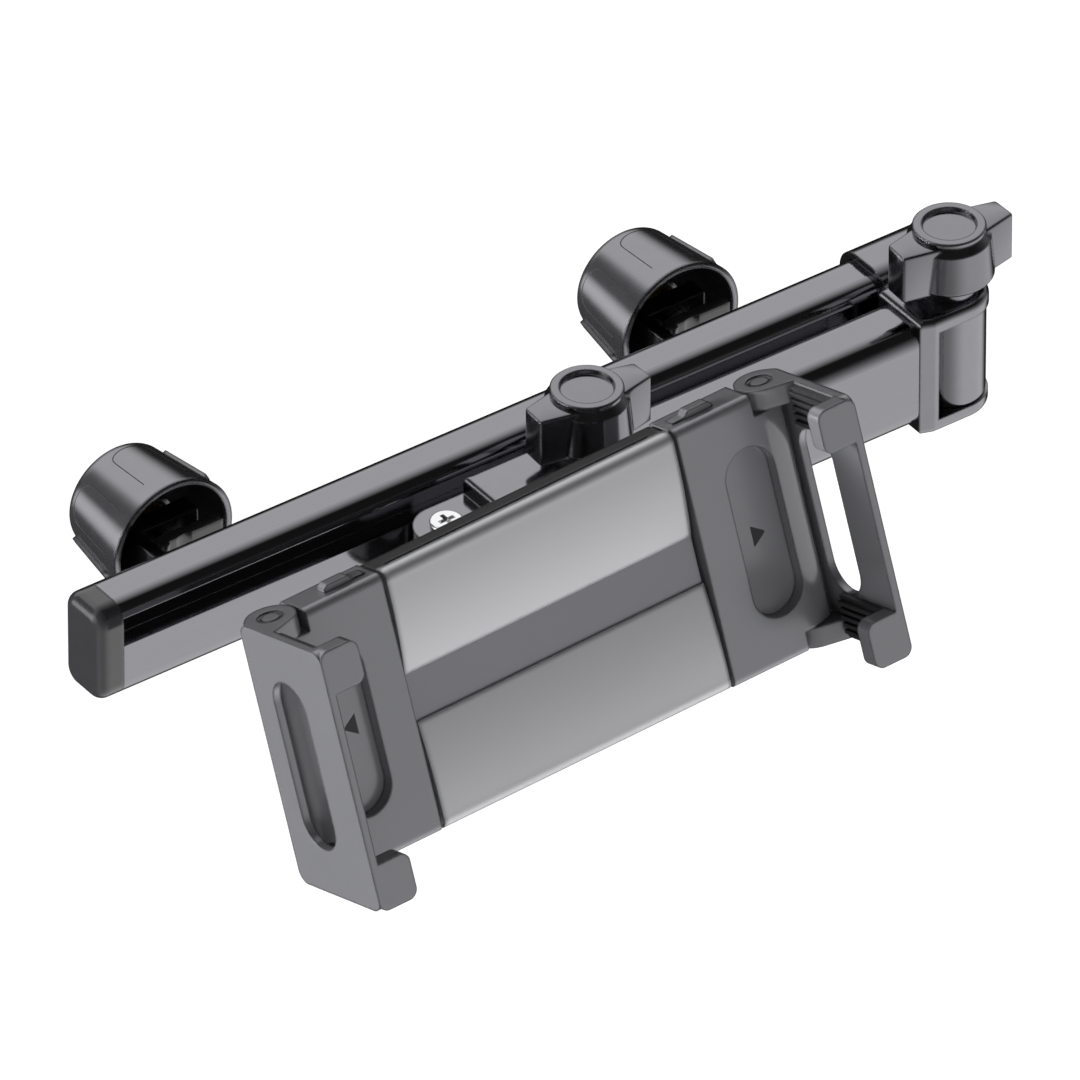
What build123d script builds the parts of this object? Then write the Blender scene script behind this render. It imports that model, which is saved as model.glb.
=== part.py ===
from build123d import *
from math import cos, radians, sin, tan
import os

os.makedirs("parts", exist_ok=True)

# Frame: origin on the left post's axis at the clamp's mid height, X along the rail, Z up,
# Y from the tablet towards the headrest.

# Fits
SLIP = 0.1
RUN = 0.05
PLAY = 0.2

# Headrest posts and their clamps
POST_SPACING = 140.0
SEAT_R = 6.1
PAD_T = 0.8
SEAT_ANGLE = 35.0
SEAT_HALF_H = 4.3
JAW_T = 2.5
JAW_X0 = -6.6
JAW_X1 = 10.6
JAW_SEAT_ANGLE = 20.0
BEAD_R = 1.3
BRACKET_ARM_X = -7.8
BRACKET_ARM_T = 3.0
BRACKET_HALF_H = 5.0
BRACKET_WALL_Y = 11.4
BRACKET_WALL_T = 3.0
BRACKET_WALL_X1 = 7.8
BRACKET_FLANGE_L = 2.2
BRACKET_FLANGE_T = 1.6
BRACKET_ROUND = 2.0
STUD_R = 3.0
STUD_TIP_R = 2.0
STUD_TIP_L = 1.4
STUD_CHAMFER = 0.4
KNOB_RIM_Y = 9.9
KNOB_R0 = 16.0
KNOB_R1 = 13.2
KNOB_BACK_Y = 32.9
KNOB_WALL = 1.5
KNOB_FLOOR = 3.0
KNOB_BACK_ROUND = 2.4
KNOB_BOSS_R = 6.2
KNOB_BOSS_GAP = 0.4
JAW_TRAVEL_IN = 2.0
INSERT_R = 4.6
FIN_ANGLE = 28.0
FIN_T = 2.2
FIN_PROUD = 1.0
FIN_START = 6.0
FIN_END = 20.5

# Rail
RAIL_BACK_Y = -(SEAT_R + PAD_T)
RAIL_D = 14.4
RAIL_H = 25.0
RAIL_R = 4.5
RAIL_Z = 3.2
RAIL_WALL = 2.0
RAIL_X0 = -35.4
CAP_L = 6.5
CAP_EDGE = 2.8
CAP_PLUG_L = 8.0
SLOT_MOUTH = 7.0
SLOT_LIP = 2.0
SLOT_H = 13.0
SLOT_D = 3.5
FRONT_GROOVE_Z0 = 5.2
FRONT_GROOVE_H = 7.4
FRONT_GROOVE_D = 4.6
RAIL_Y = RAIL_BACK_Y - RAIL_D / 2
RAIL_FRONT_Y = RAIL_BACK_Y - RAIL_D

# Rear hinge fitting and hinge 1
SOCKET_X0 = 173.4
SOCKET_X1 = 195.0
SOCKET_PROUD = 2.0
SOCKET_END = 4.5
HINGE1_X = 182.2
HINGE_Y = -34.3
BARREL_R = 8.6
WINDOW_H = 24.2
NECK_W = 12.0
RAIL_X1 = SOCKET_X1 - SOCKET_END

# Arm
FORK_R = 9.13
FORK_BACK = 13.75
FORK_EAR = 3.7
FORK_WINDOW_X = 9.2
FORK_ROUND = 1.8
FORK_EASE = 3.5
ARM_D = 15.6
ARM_H = 27.2
ARM_R = 4.6
ARM_WALL = 2.0
SPIGOT_L = 18.0
HINGE2_X = 81.9
TONGUE_R = 7.5
TONGUE_H = 14.8
ARM_END_GAP = 0.6

# Link
LINK_X0 = 53.5
LINK_EDGE = 1.6
LINK_WINDOW_X = 8.3
LUG_X = 43.4
LUG_R = 7.6
LUG_TOP = 12.35
LUG_T = 4.25
LOWER_LUG_T = 2.25
LUG_EDGE = 1.0
KNUCKLE_R = 7.4
LUG_SCREW_R = 2.5
LUG_HEAD_R = 4.0
LUG_HEAD_H = 1.6

# Hinge hardware
BOLT_R = 3.0
BOLT_HEAD_R = 4.9
BOLT_HEAD_H = 2.0
WASHER_R = 7.0
WASHER_H = 4.0
WING_KNOB_H = 13.4
SKIRT_R = 10.4
SKIRT_TOP_R = 9.7
SKIRT_H = 8.0
SKIRT_ROUND = 0.8
CONE_TOP_R = 8.3
RING_R = 7.95
RING_H = 1.2
DISH_R = 6.1
DISH_D = 0.6
WING_TIP_R = 15.0
WING_HALF_W = 3.1
WING_DROP = 1.3
WING_ROUND = 0.7
WING_TIP_CUT = 1.3
WING_TURN = -4.0
KNOB_INSERT_H = 7.0

# Ball joint
BALL_OFFSET = 22.0
BALL_R = 8.0
BALL_SHANK_R = 3.2
BALL_THREAD_L = 4.0
SOCKET_R = 10.2
SOCKET_OPEN = 3.0
COLLAR_R = 12.8
COLLAR_BACK = 4.2
COLLAR_LIP = 1.1
COLLAR_LIP_R = 7.7
COLLAR_GAP = 2.0
COLLAR_GRIPS = 12
COLLAR_GRIP_R = 1.2

# Holder, in its own frame: X towards the right wing, Y up its face, Z out of its face
HOLDER_TILT = 18.0
HOLDER_ROLL = 2.5
CORE_HALF_U = 39.6
CORE_HALF_V = 31.9
HOLDER_T = 11.0
COVER_T = 3.5
COVER_EDGE = 2.9
COVER_SIDE = 1.5
BAND_TOP = 6.0
BAND_BOTTOM = -5.5
BAND_FLOOR = 3.0
BAND_T = 0.8
LOBE_FALL = 2.0
STEP_FALL = 1.6
HOUSING_INSET = 0.5
GROOVE_W = 1.2
GROOVE_D = 1.0
GROOVE_IN = 3.0
GROOVE_Z = -4.6
WING_GAP = 1.0
WING_W = 20.7
WING_EDGE = 1.8
NOSE_SHORT = 5.1
NOSE_R = 3.8
NOSE_FALL = 28.0
PIN_OUT = 6.1
PIN_Z = -5.1
PIN_R = 2.2
PIN_RING_R = 3.0
PIN_RING_D = 0.35
EAR_GAP = 0.2
EAR_R = 5.9
EAR_TOP = 2.0
EAR_ROUND = 1.0
RECESS_IN = 4.4
RECESS_W = 13.4
RECESS_L = 41.4
RECESS_D = 3.0
TAB_IN = 1.9
TAB_L = 11.0
TAB_H = 1.6
TAB_W = 3.0
BAR_W = 9.0
BAR_T = 3.0
BAR_OUTER_V = 20.0
BAR_INNER_V = 9.0
BAR_SHORT = 3.6
BAR_Z = -7.4
PLATE_GAP = 0.4
PLATE_T = 2.0
PLATE_FRONT = 23.4
PLATE_CORNER = 3.0
LIP_T = 4.4
LIP_REACH = 10.2
LIP_TOP_W = 10.6
LIP_LOW_W = 11.3
LIP_CORNER = 2.4
SLOT_Z0 = -1.4
SLOT_Z1 = 11.5
SLOT_END_V = 11.4
PAD_GRIP_T = 2.2
PAD_RIB = 0.8
PAD_RIB_PITCH = 1.8
COVER_SCREW_IN_U = 8.6
COVER_SCREW_IN_V = 3.9
COVER_SCREW_R = 1.2
COVER_SCREW_HEAD_R = 2.3
COVER_SCREW_HEAD_H = 1.4

# Derived places
WING_U0 = CORE_HALF_U + WING_GAP
BODY_U = WING_U0 + WING_W
RECESS_U = BODY_U - RECESS_IN
NOSE_HALF_V = CORE_HALF_V - NOSE_SHORT
PIN_U = BODY_U + PIN_OUT
PLATE_U = PIN_U + NOSE_R + PLATE_GAP
PLATE_OUT_U = PLATE_U + PLATE_T
PAD_U = PLATE_U - PAD_GRIP_T
PAD_Z0 = EAR_TOP + EAR_ROUND
LIP_U = PLATE_OUT_U - LIP_REACH
LIP_BACK = PLATE_FRONT - LIP_T
LIP_TOP_V = CORE_HALF_V - LIP_TOP_W
LIP_LOW_V = CORE_HALF_V - LIP_LOW_W
SLOT_HALF_V = CORE_HALF_V - SLOT_END_V
COVER_SCREW_U = CORE_HALF_U - COVER_SCREW_IN_U
COVER_SCREW_V = CORE_HALF_V - COVER_SCREW_IN_V
KNOB_BOSS_Y = BRACKET_WALL_Y + BRACKET_WALL_T + BRACKET_FLANGE_L + JAW_TRAVEL_IN + KNOB_BOSS_GAP
ARM_TOP = RAIL_Z + ARM_H / 2
ARM_BOTTOM = RAIL_Z - ARM_H / 2
FORK_TOP = RAIL_Z + WINDOW_H / 2 + FORK_EAR
FORK_BOTTOM = RAIL_Z - WINDOW_H / 2 - FORK_EAR
ARM_X0 = HINGE2_X + ARM_D / 2 + ARM_END_GAP
ARM_X1 = HINGE1_X - FORK_BACK
BALL_Y = HINGE_Y - BALL_OFFSET
BALL_Z = 2.0
LUG_BOTTOM = LUG_TOP - LUG_T
KNUCKLE_BOTTOM = ARM_BOTTOM + LOWER_LUG_T
TILT = radians(HOLDER_TILT)
ROLL = radians(HOLDER_ROLL)
FACE_NORMAL = Vector(0, -cos(TILT), sin(TILT))
FACE_RIGHT = Vector(cos(ROLL), sin(ROLL) * sin(TILT), sin(ROLL) * cos(TILT))
FACE_CENTRE = Vector(LUG_X, BALL_Y, BALL_Z) + FACE_NORMAL * BALL_OFFSET
HOLDER = Plane(origin=FACE_CENTRE, x_dir=FACE_RIGHT, z_dir=FACE_NORMAL)


def save(piece, label):
    piece.label = label
    export_step(piece, f"parts/{label}.step")


def save_in_holder(piece, label):
    save(piece.moved(HOLDER.location), label)


def save_both_sides(piece, label):
    save_in_holder(piece, f"right_{label}")
    save_in_holder(mirror(piece, about=Plane.YZ), f"left_{label}")


def save_both_posts(piece, label):
    save(piece, f"left_{label}")
    save(piece.moved(Location((POST_SPACING, 0, 0))), f"right_{label}")


# Rail: hollow rounded profile with a T slot along its back and a groove along its front
cavity_y0 = RAIL_FRONT_Y + RAIL_WALL
cavity_y1 = RAIL_BACK_Y - SLOT_LIP - SLOT_D - RAIL_WALL
cavity_z0 = RAIL_Z - RAIL_H / 2 + RAIL_WALL + RAIL_R / 2
cavity_z1 = FRONT_GROOVE_Z0 - RAIL_WALL
with BuildPart() as rail_extrusion:
    with BuildSketch(Plane.YZ.offset(RAIL_X0)):
        with Locations((RAIL_Y, RAIL_Z)):
            RectangleRounded(RAIL_D, RAIL_H, RAIL_R)
        with Locations(((cavity_y0 + cavity_y1) / 2, (cavity_z0 + cavity_z1) / 2)):
            Rectangle(cavity_y1 - cavity_y0, cavity_z1 - cavity_z0, mode=Mode.SUBTRACT)
        with Locations((RAIL_FRONT_Y + FRONT_GROOVE_D / 2, FRONT_GROOVE_Z0 + FRONT_GROOVE_H / 2)):
            Rectangle(FRONT_GROOVE_D, FRONT_GROOVE_H, mode=Mode.SUBTRACT)
        with Locations((RAIL_BACK_Y - SLOT_LIP / 2, 0)):
            Rectangle(SLOT_LIP, SLOT_MOUTH, mode=Mode.SUBTRACT)
        with Locations((RAIL_BACK_Y - SLOT_LIP - SLOT_D / 2, 0)):
            Rectangle(SLOT_D, SLOT_H, mode=Mode.SUBTRACT)
    extrude(amount=RAIL_X1 - RAIL_X0)

# End cap with its plug in the rail's front cavity
with BuildPart() as rail_end_cap:
    with BuildSketch(Plane.YZ.offset(RAIL_X0 - CAP_L)):
        with Locations((RAIL_Y, RAIL_Z)):
            RectangleRounded(RAIL_D, RAIL_H, RAIL_R)
    extrude(amount=CAP_L)
    fillet(rail_end_cap.faces().sort_by(Axis.X)[0].edges(), CAP_EDGE)
    with BuildSketch(Plane.YZ.offset(RAIL_X0)):
        with Locations(((cavity_y0 + cavity_y1) / 2, (cavity_z0 + cavity_z1) / 2)):
            Rectangle(cavity_y1 - cavity_y0 - 2 * SLIP, cavity_z1 - cavity_z0 - 2 * SLIP)
    extrude(amount=CAP_PLUG_L)

# Rear hinge fitting: sleeve round the rail, neck and barrel
with BuildPart() as rear_hinge_fitting:
    with BuildSketch(Plane.YZ.offset(SOCKET_X0)):
        with Locations((RAIL_Y, RAIL_Z)):
            RectangleRounded(RAIL_D + 2 * SOCKET_PROUD, RAIL_H + 2 * SOCKET_PROUD, RAIL_R + SOCKET_PROUD)
    extrude(amount=SOCKET_X1 - SOCKET_X0)
    fillet(rear_hinge_fitting.faces().sort_by(Axis.X)[-1].edges(), SOCKET_PROUD * 1.4)
    barrel_h = WINDOW_H - 2 * SLIP
    neck_l = RAIL_FRONT_Y - HINGE_Y
    with BuildSketch(Plane.XY.offset(RAIL_Z - barrel_h / 2)):
        with Locations((HINGE1_X, HINGE_Y)):
            Circle(BARREL_R)
        with Locations((HINGE1_X, HINGE_Y + neck_l / 2)):
            Rectangle(NECK_W, neck_l)
    extrude(amount=barrel_h)
    with BuildSketch(Plane.YZ.offset(SOCKET_X0)):
        with Locations((RAIL_Y, RAIL_Z)):
            RectangleRounded(RAIL_D + 2 * SLIP, RAIL_H + 2 * SLIP, RAIL_R + SLIP)
    extrude(amount=RAIL_X1 - SOCKET_X0 + SLIP, mode=Mode.SUBTRACT)
    with Locations((HINGE1_X, HINGE_Y, RAIL_Z)):
        Hole(BOLT_R + RUN, depth=WINDOW_H)

save(rail_extrusion.part, "rail_extrusion")
save(rail_end_cap.part, "rail_end_cap")
save(rear_hinge_fitting.part, "rear_hinge_fitting")

# Post clamp: C bracket with its foot in the rail's slot, open towards +X
wall_y1 = BRACKET_WALL_Y + BRACKET_WALL_T
arm_x0 = BRACKET_ARM_X - BRACKET_ARM_T
with BuildPart() as clamp_bracket:
    with BuildSketch(Plane.XY.offset(-BRACKET_HALF_H)):
        with BuildLine():
            Polyline((arm_x0, RAIL_BACK_Y), (arm_x0, wall_y1), (BRACKET_WALL_X1, wall_y1),
                     (BRACKET_WALL_X1, BRACKET_WALL_Y), (BRACKET_ARM_X, BRACKET_WALL_Y),
                     (BRACKET_ARM_X, RAIL_BACK_Y), close=True)
        make_face()
    extrude(amount=2 * BRACKET_HALF_H)
    foot_w = JAW_X1 - arm_x0
    foot_x = (JAW_X1 + arm_x0) / 2
    with BuildSketch(Plane.XZ.offset(-RAIL_BACK_Y)):
        with Locations((foot_x, 0)):
            Rectangle(foot_w, SLOT_MOUTH - 2 * SLIP)
    extrude(amount=SLOT_LIP + SLIP)
    with BuildSketch(Plane.XZ.offset(-RAIL_BACK_Y + SLOT_LIP + SLIP)):
        with Locations((foot_x, 0)):
            Rectangle(foot_w, SLOT_H - 2 * SLIP)
    extrude(amount=SLOT_D - 2 * SLIP)
    with BuildSketch(Plane.XZ.offset(-wall_y1)):
        with Locations((arm_x0 + (BRACKET_WALL_X1 - arm_x0) / 2, 0)):
            with GridLocations(1, 2 * BRACKET_HALF_H - BRACKET_FLANGE_T, 1, 2):
                Rectangle(BRACKET_WALL_X1 - arm_x0, BRACKET_FLANGE_T)
    extrude(amount=-BRACKET_FLANGE_L)
    with BuildSketch(Plane.XZ.offset(-BRACKET_WALL_Y)):
        Circle(STUD_R + SLIP)
    extrude(amount=-BRACKET_WALL_T, mode=Mode.SUBTRACT)
    fillet(clamp_bracket.edges().filter_by(Axis.Z).group_by(Axis.X)[0].sort_by(Axis.Y)[-1],
           BRACKET_ROUND)

# Rubber saddle on the rail side of the post
seat_edge = SEAT_R * sin(radians(SEAT_ANGLE))
seat_rise = SEAT_R * cos(radians(SEAT_ANGLE))
pad_x0 = BRACKET_ARM_X + 2 * PLAY
with BuildPart() as post_pad:
    with BuildSketch(Plane.XY.offset(-SEAT_HALF_H)):
        with BuildLine():
            Line((pad_x0, RAIL_BACK_Y), (JAW_X1, RAIL_BACK_Y))
            Line((JAW_X1, RAIL_BACK_Y), (JAW_X1, -seat_rise))
            Line((JAW_X1, -seat_rise), (seat_edge, -seat_rise))
            ThreePointArc((seat_edge, -seat_rise), (0, -SEAT_R), (-seat_edge, -seat_rise))
            Line((-seat_edge, -seat_rise), (pad_x0, -seat_rise))
            Line((pad_x0, -seat_rise), (pad_x0, RAIL_BACK_Y))
        make_face()
    extrude(amount=2 * SEAT_HALF_H)

# Moving jaw behind the post, with a bead at its closed end
jaw_back = SEAT_R + JAW_T
jaw_edge = SEAT_R * sin(radians(JAW_SEAT_ANGLE))
jaw_face = SEAT_R * cos(radians(JAW_SEAT_ANGLE))
with BuildPart() as clamp_jaw:
    with BuildSketch(Plane.XY.offset(-SEAT_HALF_H)):
        with BuildLine():
            Line((JAW_X0, jaw_back), (JAW_X1, jaw_back))
            Line((JAW_X1, jaw_back), (JAW_X1, jaw_face))
            Line((JAW_X1, jaw_face), (jaw_edge, jaw_face))
            ThreePointArc((jaw_edge, jaw_face), (0, SEAT_R), (-jaw_edge, jaw_face))
            Line((-jaw_edge, jaw_face), (JAW_X0, jaw_face))
            Line((JAW_X0, jaw_face), (JAW_X0, jaw_back))
        make_face()
        with Locations((JAW_X0 + BEAD_R - PLAY, jaw_face)):
            Circle(BEAD_R)
    extrude(amount=2 * SEAT_HALF_H)
    with BuildSketch(Plane.XZ.offset(-jaw_back)):
        Circle(STUD_TIP_R + RUN)
    extrude(amount=STUD_TIP_L + SLIP, mode=Mode.SUBTRACT)

# Stud: necked tip in the jaw, thread through the bracket's wall, end in the knob
stud_end = KNOB_BACK_Y - KNOB_FLOOR
with BuildPart() as clamp_stud:
    with BuildSketch(Plane.XZ.offset(-(jaw_back - STUD_TIP_L))):
        Circle(STUD_TIP_R)
    extrude(amount=-STUD_TIP_L)
    with BuildSketch(Plane.XZ.offset(-jaw_back)):
        Circle(STUD_R)
    extrude(amount=-(stud_end - jaw_back))
    chamfer(clamp_stud.faces().sort_by(Axis.Y)[-1].edges(), STUD_CHAMFER)

# Cup knob: thin tapered wall round an inner boss, rounded back edge, two grip fins
knob_slope = (KNOB_R0 - KNOB_R1) / (KNOB_BACK_Y - KNOB_RIM_Y)
with BuildPart() as clamp_knob:
    with BuildSketch(Plane.XY):
        with BuildLine():
            Polyline((0, KNOB_BACK_Y), (KNOB_R1, KNOB_BACK_Y), (KNOB_R0, KNOB_RIM_Y),
                     (KNOB_R0 - KNOB_WALL, KNOB_RIM_Y), (KNOB_R1 - KNOB_WALL, stud_end),
                     (KNOB_BOSS_R, stud_end), (KNOB_BOSS_R, KNOB_BOSS_Y), (0, KNOB_BOSS_Y), close=True)
        make_face()
    revolve(axis=Axis.Y)
    fillet(clamp_knob.faces().sort_by(Axis.Y)[-1].edges(), KNOB_BACK_ROUND)
    fin_y0 = KNOB_RIM_Y + FIN_START
    fin_y1 = KNOB_RIM_Y + FIN_END
    fin_r0 = KNOB_R0 - knob_slope * FIN_START
    fin_r1 = KNOB_R0 - knob_slope * FIN_END
    for turn in (radians(FIN_ANGLE), radians(FIN_ANGLE + 180)):
        with BuildSketch(Plane(origin=(0, 0, 0), x_dir=(cos(turn), 0, sin(turn)),
                               z_dir=(-sin(turn), 0, cos(turn)))):
            with BuildLine():
                Polyline((fin_r0 - KNOB_WALL / 2, fin_y0), (fin_r0, fin_y0),
                         (fin_r0 + FIN_PROUD, fin_y0 + FIN_PROUD), (fin_r1 + FIN_PROUD, fin_y1),
                         (fin_r1 - KNOB_WALL / 2, fin_y1), close=True)
            make_face()
        extrude(amount=FIN_T / 2, both=True)
    with BuildSketch(Plane.XZ.offset(-KNOB_BOSS_Y)):
        Circle(INSERT_R + RUN)
    extrude(amount=-(stud_end - KNOB_BOSS_Y), mode=Mode.SUBTRACT)

# Threaded insert moulded in the knob's boss
with BuildPart() as knob_insert:
    with BuildSketch(Plane.XZ.offset(-KNOB_BOSS_Y)):
        Circle(INSERT_R)
        Circle(STUD_R + RUN, mode=Mode.SUBTRACT)
    extrude(amount=-(stud_end - KNOB_BOSS_Y))

save_both_posts(clamp_bracket.part, "clamp_bracket")
save_both_posts(post_pad.part, "post_pad")
save_both_posts(clamp_jaw.part, "clamp_jaw")
save_both_posts(clamp_stud.part, "clamp_stud")
save_both_posts(clamp_knob.part, "clamp_knob")
save_both_posts(knob_insert.part, "knob_insert")

# Arm bar: hollow rounded tube between its two end fittings
inner_d = ARM_D - 2 * ARM_WALL
inner_h = ARM_H - 2 * ARM_WALL
inner_r = ARM_R - ARM_WALL
with BuildPart() as arm_bar:
    with BuildSketch(Plane.YZ.offset(ARM_X0)):
        with Locations((HINGE_Y, RAIL_Z)):
            RectangleRounded(ARM_D, ARM_H, ARM_R)
            RectangleRounded(inner_d, inner_h, inner_r, mode=Mode.SUBTRACT)
    extrude(amount=ARM_X1 - ARM_X0)

# Fork: rounded block with a window for the barrel and a spigot in the arm
with BuildPart() as arm_fork:
    with BuildSketch(Plane.XY.offset(FORK_BOTTOM)):
        with Locations((HINGE1_X, HINGE_Y)):
            Circle(FORK_R)
        with BuildLine():
            Polyline((HINGE1_X, HINGE_Y + FORK_R), (ARM_X1 + FORK_EASE, HINGE_Y + FORK_R),
                     (ARM_X1, HINGE_Y + ARM_D / 2 + SLIP), (ARM_X1, HINGE_Y - ARM_D / 2 - SLIP),
                     (ARM_X1 + FORK_EASE, HINGE_Y - FORK_R), (HINGE1_X, HINGE_Y - FORK_R), close=True)
        make_face()
    extrude(amount=FORK_TOP - FORK_BOTTOM)
    fillet(arm_fork.faces().filter_by(Axis.Z).edges(), FORK_ROUND)
    with BuildSketch(Plane.XZ.offset(-HINGE_Y)):
        with Locations((HINGE1_X - FORK_WINDOW_X + 2 * FORK_R, RAIL_Z)):
            Rectangle(4 * FORK_R, WINDOW_H)
    extrude(amount=FORK_R + SLIP, both=True, mode=Mode.SUBTRACT)
    with BuildSketch(Plane.YZ.offset(ARM_X1)):
        with Locations((HINGE_Y, RAIL_Z)):
            RectangleRounded(inner_d - 2 * SLIP, inner_h - 2 * SLIP, inner_r - SLIP)
    extrude(amount=-SPIGOT_L)
    with Locations((HINGE1_X, HINGE_Y, RAIL_Z)):
        Hole(BOLT_R + RUN)
    with Locations(Location((HINGE1_X, HINGE_Y, FORK_BOTTOM), (180, 0, 0))):
        CounterBoreHole(BOLT_R + RUN, BOLT_HEAD_R + SLIP, BOLT_HEAD_H, depth=FORK_EAR)

# Tongue: spigot in the arm's other end, eye between the link's ears
with BuildPart() as arm_tongue:
    with BuildSketch(Plane.XY.offset(RAIL_Z - TONGUE_H / 2)):
        with Locations((HINGE2_X, HINGE_Y)):
            Circle(TONGUE_R)
        with Locations(((HINGE2_X + ARM_X0 + SPIGOT_L) / 2, HINGE_Y)):
            Rectangle(ARM_X0 + SPIGOT_L - HINGE2_X, inner_d - 2 * SLIP)
    extrude(amount=TONGUE_H)
    with BuildSketch(Plane.YZ.offset(ARM_X0)):
        with Locations((HINGE_Y, RAIL_Z)):
            RectangleRounded(inner_d - 2 * SLIP, inner_h - 2 * SLIP, inner_r - SLIP)
    extrude(amount=SPIGOT_L)
    with Locations((HINGE2_X, HINGE_Y, RAIL_Z)):
        Hole(BOLT_R + RUN)

# Link: two ears at hinge 2, a block, and the clevis that carries the swivel
with BuildPart() as link_body:
    with BuildSketch(Plane.XY.offset(ARM_BOTTOM)):
        with Locations((HINGE2_X, HINGE_Y)):
            Circle(ARM_D / 2)
        with Locations(((HINGE2_X + LINK_X0) / 2, HINGE_Y)):
            Rectangle(HINGE2_X - LINK_X0, ARM_D)
    extrude(amount=ARM_H)
    fillet(link_body.faces().filter_by(Axis.Z).edges(), LINK_EDGE)
    with BuildSketch(Plane.XY.offset(ARM_BOTTOM + LUG_EDGE)):
        with Locations((LUG_X, HINGE_Y)):
            Circle(LUG_R)
        with Locations(((LUG_X + LINK_X0 + LINK_EDGE) / 2, HINGE_Y)):
            Rectangle(LINK_X0 + LINK_EDGE - LUG_X, 2 * LUG_R)
    extrude(amount=LUG_TOP - ARM_BOTTOM - LUG_EDGE)
    with BuildSketch(Plane.XZ.offset(-HINGE_Y)):
        with Locations((HINGE2_X - LINK_WINDOW_X + ARM_D, RAIL_Z)):
            Rectangle(2 * ARM_D, TONGUE_H + 2 * SLIP)
        with Locations((LINK_X0 - ARM_D, (LUG_BOTTOM + KNUCKLE_BOTTOM) / 2)):
            Rectangle(2 * ARM_D, LUG_BOTTOM - KNUCKLE_BOTTOM)
    extrude(amount=ARM_D, both=True, mode=Mode.SUBTRACT)
    with Locations((HINGE2_X, HINGE_Y, RAIL_Z)):
        Hole(BOLT_R + RUN)
    with Locations(Location((HINGE2_X, HINGE_Y, ARM_BOTTOM), (180, 0, 0))):
        CounterBoreHole(BOLT_R + RUN, BOLT_HEAD_R + SLIP, BOLT_HEAD_H, depth=BOLT_HEAD_H + SLIP)
    with Locations((LUG_X, HINGE_Y, LUG_TOP)):
        Hole(LUG_SCREW_R + RUN, depth=LUG_TOP - ARM_BOTTOM)

save(arm_bar.part, "arm_bar")
save(arm_fork.part, "arm_fork")
save(arm_tongue.part, "arm_tongue")
save(link_body.part, "link_body")


# Hinge hardware: bolt from below, washer, and a wing knob with its insert
def make_hinge_set(x, bottom, top, label):
    knob_z = top + WASHER_H
    bolt_end = knob_z + KNOB_INSERT_H
    with BuildPart() as hinge_bolt:
        with BuildSketch(Plane.XY.offset(bottom)):
            with Locations((x, HINGE_Y)):
                Circle(BOLT_HEAD_R)
                RegularPolygon(BOLT_R * 0.8, 6, mode=Mode.SUBTRACT)
        extrude(amount=BOLT_HEAD_H / 2)
        with BuildSketch(Plane.XY.offset(bottom + BOLT_HEAD_H / 2)):
            with Locations((x, HINGE_Y)):
                Circle(BOLT_HEAD_R)
        extrude(amount=BOLT_HEAD_H / 2)
        with BuildSketch(Plane.XY.offset(bottom + BOLT_HEAD_H)):
            with Locations((x, HINGE_Y)):
                Circle(BOLT_R)
        extrude(amount=bolt_end - bottom - BOLT_HEAD_H)
    with BuildPart() as hinge_washer:
        with BuildSketch(Plane.XY.offset(top)):
            with Locations((x, HINGE_Y)):
                Circle(WASHER_R)
                Circle(BOLT_R + RUN, mode=Mode.SUBTRACT)
        extrude(amount=WASHER_H)
    ring_z = knob_z + WING_KNOB_H - RING_H
    with BuildPart() as hinge_knob:
        with BuildSketch(Plane.XZ):
            with BuildLine():
                Polyline((0, knob_z), (SKIRT_R - SKIRT_ROUND, knob_z), (SKIRT_R, knob_z + SKIRT_ROUND),
                         (SKIRT_TOP_R, knob_z + SKIRT_H), (CONE_TOP_R, ring_z),
                         (CONE_TOP_R, ring_z + RING_H / 2), (RING_R, ring_z + RING_H),
                         (DISH_R, ring_z + RING_H), (DISH_R - DISH_D / 2, ring_z + RING_H - DISH_D),
                         (0, ring_z + RING_H - DISH_D), close=True)
            make_face()
        revolve(axis=Axis.Z)
        with BuildSketch(Plane.XY.offset(knob_z)):
            Rectangle(2 * WING_TIP_R, 2 * WING_HALF_W, rotation=WING_TURN)
        extrude(amount=WING_KNOB_H - WING_DROP, taper=4.0)
        for end in (0, -1):
            tip = hinge_knob.faces().sort_by(Axis.X)[end]
            chamfer(tip.edges().sort_by(Axis.Z)[-1], WING_TIP_CUT)
        upright = hinge_knob.edges().filter_by(lambda e: e.length > WING_TIP_CUT * 5)
        upright = upright.filter_by(lambda e: abs(e.tangent_at(0.5).Z) > 0.9)
        tips = upright.sort_by(lambda e: abs(e.center().X))[-4:]
        fillet(tips, WING_ROUND)
        with BuildSketch(Plane.XY.offset(knob_z)):
            Circle(INSERT_R + RUN)
        extrude(amount=KNOB_INSERT_H + SLIP, mode=Mode.SUBTRACT)
    with BuildPart() as hinge_insert:
        with BuildSketch(Plane.XY.offset(knob_z)):
            with Locations((x, HINGE_Y)):
                Circle(INSERT_R)
                Circle(BOLT_R + RUN, mode=Mode.SUBTRACT)
        extrude(amount=KNOB_INSERT_H)
    save(hinge_bolt.part, f"{label}_hinge_bolt")
    save(hinge_washer.part, f"{label}_hinge_washer")
    save(hinge_knob.part.moved(Location((x, HINGE_Y, 0))), f"{label}_wing_knob")
    save(hinge_insert.part, f"{label}_knob_insert")


make_hinge_set(HINGE1_X, FORK_BOTTOM, FORK_TOP, "arm")
make_hinge_set(HINGE2_X, ARM_BOTTOM, ARM_TOP, "link")

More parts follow.
